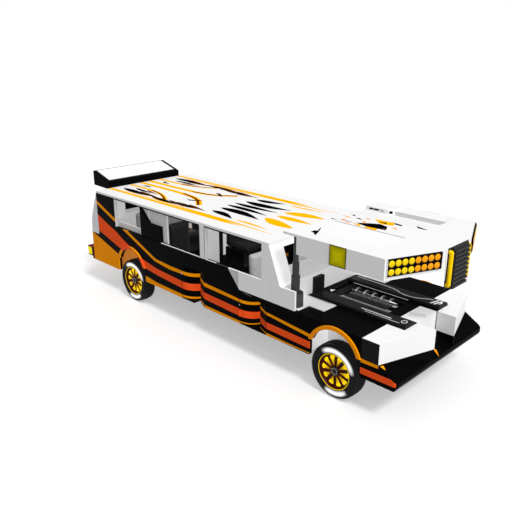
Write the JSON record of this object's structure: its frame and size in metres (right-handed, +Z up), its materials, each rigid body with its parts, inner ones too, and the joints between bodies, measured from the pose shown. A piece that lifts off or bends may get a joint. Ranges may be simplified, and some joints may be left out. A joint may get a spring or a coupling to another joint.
{
  "type": "microbus",
  "caption": "Low, long custom microbus with open side windows, a rear wing, steered front wheels and a nose that lifts on two telescopic posts.",
  "frame": {"origin": "on the ground under the middle of the bus", "axes": "+X forward, +Y to the left, +Z up"},
  "size_m": [6.74, 2.12, 2.01],
  "materials": {
    "white_paint": "gloss white paint",
    "black_paint": "gloss black paint",
    "orange_paint": "gloss orange paint",
    "yellow_paint": "gloss yellow paint",
    "dark_grey_paint": "satin dark grey",
    "frame_black": "matt chassis black",
    "floor_black": "matt floor coating",
    "engine_grey": "cast",
    "bare_steel": "brushed",
    "tyre_rubber": "black rubber with a pale band",
    "gold_rim": "gloss gold petals on dark red",
    "dark_rubber": "ribbed rubber",
    "yellow_lens": "lamp lens",
    "olive_lens": "lamp lens",
    "black_plastic": "moulded",
    "grille_grey": "moulded slats",
    "seat_black": "black seat cover",
    "grey_trim": "light grey trim"
  },
  "bodies": {
    "body": {"arch_trims": "orange_paint", "cabin_panels": "grey_trim", "chassis_frame": "frame_black", "dashboard": "grey_trim", "deck_plates": "white_paint", "engine_block": "engine_grey", "engine_trim": "dark_grey_paint", "exhaust": "bare_steel", "fender_left": "black_paint", "fender_right": "black_paint", "floor_pan": "floor_black", "front_axle": "frame_black", "front_blocks": "white_paint", "front_bumper": "black_paint", "front_deck": "black_paint", "fuel_tank": "frame_black", "post_bases": "dark_rubber", "rear_axle": "frame_black", "rear_blind": "black_plastic", "rear_bumper": "black_paint", "rear_lamps": "yellow_lens", "roof_panel": "white_paint", "seat_backs": "seat_black", "seat_cushions": "seat_black", "seat_frames": "frame_black", "side_rails": "white_paint", "side_wall_left": "black_paint", "side_wall_right": "black_paint", "steering_wheel": "black_plastic", "tail_frame": "white_paint", "wheel_wells": "white_paint", "windscreen_frame": "white_paint", "wing": "black_paint"},
    "right_knuckle": {"knuckle_right": "frame_black"},
    "left_knuckle": {"knuckle_left": "frame_black"},
    "right_door": {"door_right": "black_paint"},
    "left_door": {"door_left": "black_paint"},
    "rear_gate": {"tailgate": "orange_paint"},
    "lower_stage": {"lower_sleeves": "dark_grey_paint"},
    "middle_stage": {"middle_sleeves": "dark_grey_paint"},
    "nose": {"nose_shell": "white_paint", "lamp_panels": "black_plastic", "round_lamps": "yellow_lens", "nose_grille": "grille_grey", "grille_tubes": "yellow_paint", "side_markers": "olive_lens", "lift_rods": "dark_grey_paint"},
    "front_wheel_right": {"front_tyre_right": "tyre_rubber", "front_rim_right": "gold_rim"},
    "front_wheel_left": {"front_tyre_left": "tyre_rubber", "front_rim_left": "gold_rim"},
    "rear_wheel_right": {"rear_tyre_right": "tyre_rubber", "rear_rim_right": "gold_rim"},
    "rear_wheel_left": {"rear_tyre_left": "tyre_rubber", "rear_rim_left": "gold_rim"}
  },
  "joints": [
    {"name": "nose_lift", "type": "slide", "parent": "body", "child": "nose", "axis": [0, 0, 1], "range_m": [-0.718, 0]},
    {"name": "middle_stage_slide", "type": "slide", "parent": "body", "child": "middle_stage", "axis": [0, 0, 1], "range_m": [-0.4789, 0]},
    {"name": "lower_stage_slide", "type": "slide", "parent": "body", "child": "lower_stage", "axis": [0, 0, 1], "range_m": [-0.2395, 0]},
    {"name": "right_steer", "type": "hinge", "parent": "body", "child": "right_knuckle", "pos_m": [2.38, -0.89, 0.362], "axis": [0, 0, 1], "range_deg": [-30, 30]},
    {"name": "left_steer", "type": "hinge", "parent": "body", "child": "left_knuckle", "pos_m": [2.38, 0.89, 0.362], "axis": [0, 0, 1], "range_deg": [-30, 30]},
    {"name": "right_door_hinge", "type": "hinge", "parent": "body", "child": "right_door", "pos_m": [0.725, -1.04, 0.75], "axis": [0, 0, 1], "range_deg": [0, 70]},
    {"name": "left_door_hinge", "type": "hinge", "parent": "body", "child": "left_door", "pos_m": [0.725, 1.04, 0.75], "axis": [0, 0, -1], "range_deg": [0, 70]},
    {"name": "tailgate_hinge", "type": "hinge", "parent": "body", "child": "rear_gate", "pos_m": [-3.12, 0, 0.58], "axis": [0, -1, 0], "range_deg": [0, 90]},
    {"name": "front_right_wheel_spin", "type": "hinge", "parent": "right_knuckle", "child": "front_wheel_right", "pos_m": [2.38, -0.9325, 0.362], "axis": [0, 1, 0], "continuous": true},
    {"name": "rear_right_wheel_spin", "type": "hinge", "parent": "body", "child": "rear_wheel_right", "pos_m": [-1.91, -0.9325, 0.362], "axis": [0, 1, 0], "continuous": true},
    {"name": "front_left_wheel_spin", "type": "hinge", "parent": "left_knuckle", "child": "front_wheel_left", "pos_m": [2.38, 0.9325, 0.362], "axis": [0, 1, 0], "continuous": true},
    {"name": "rear_left_wheel_spin", "type": "hinge", "parent": "body", "child": "rear_wheel_left", "pos_m": [-1.91, 0.9325, 0.362], "axis": [0, 1, 0], "continuous": true}
  ],
  "couplings": [
    {"joint": "middle_stage_slide", "follows": "nose_lift", "ratio": 0.66667},
    {"joint": "lower_stage_slide", "follows": "nose_lift", "ratio": 0.33333},
    {"joint": "left_steer", "follows": "right_steer", "ratio": 1}
  ]
}
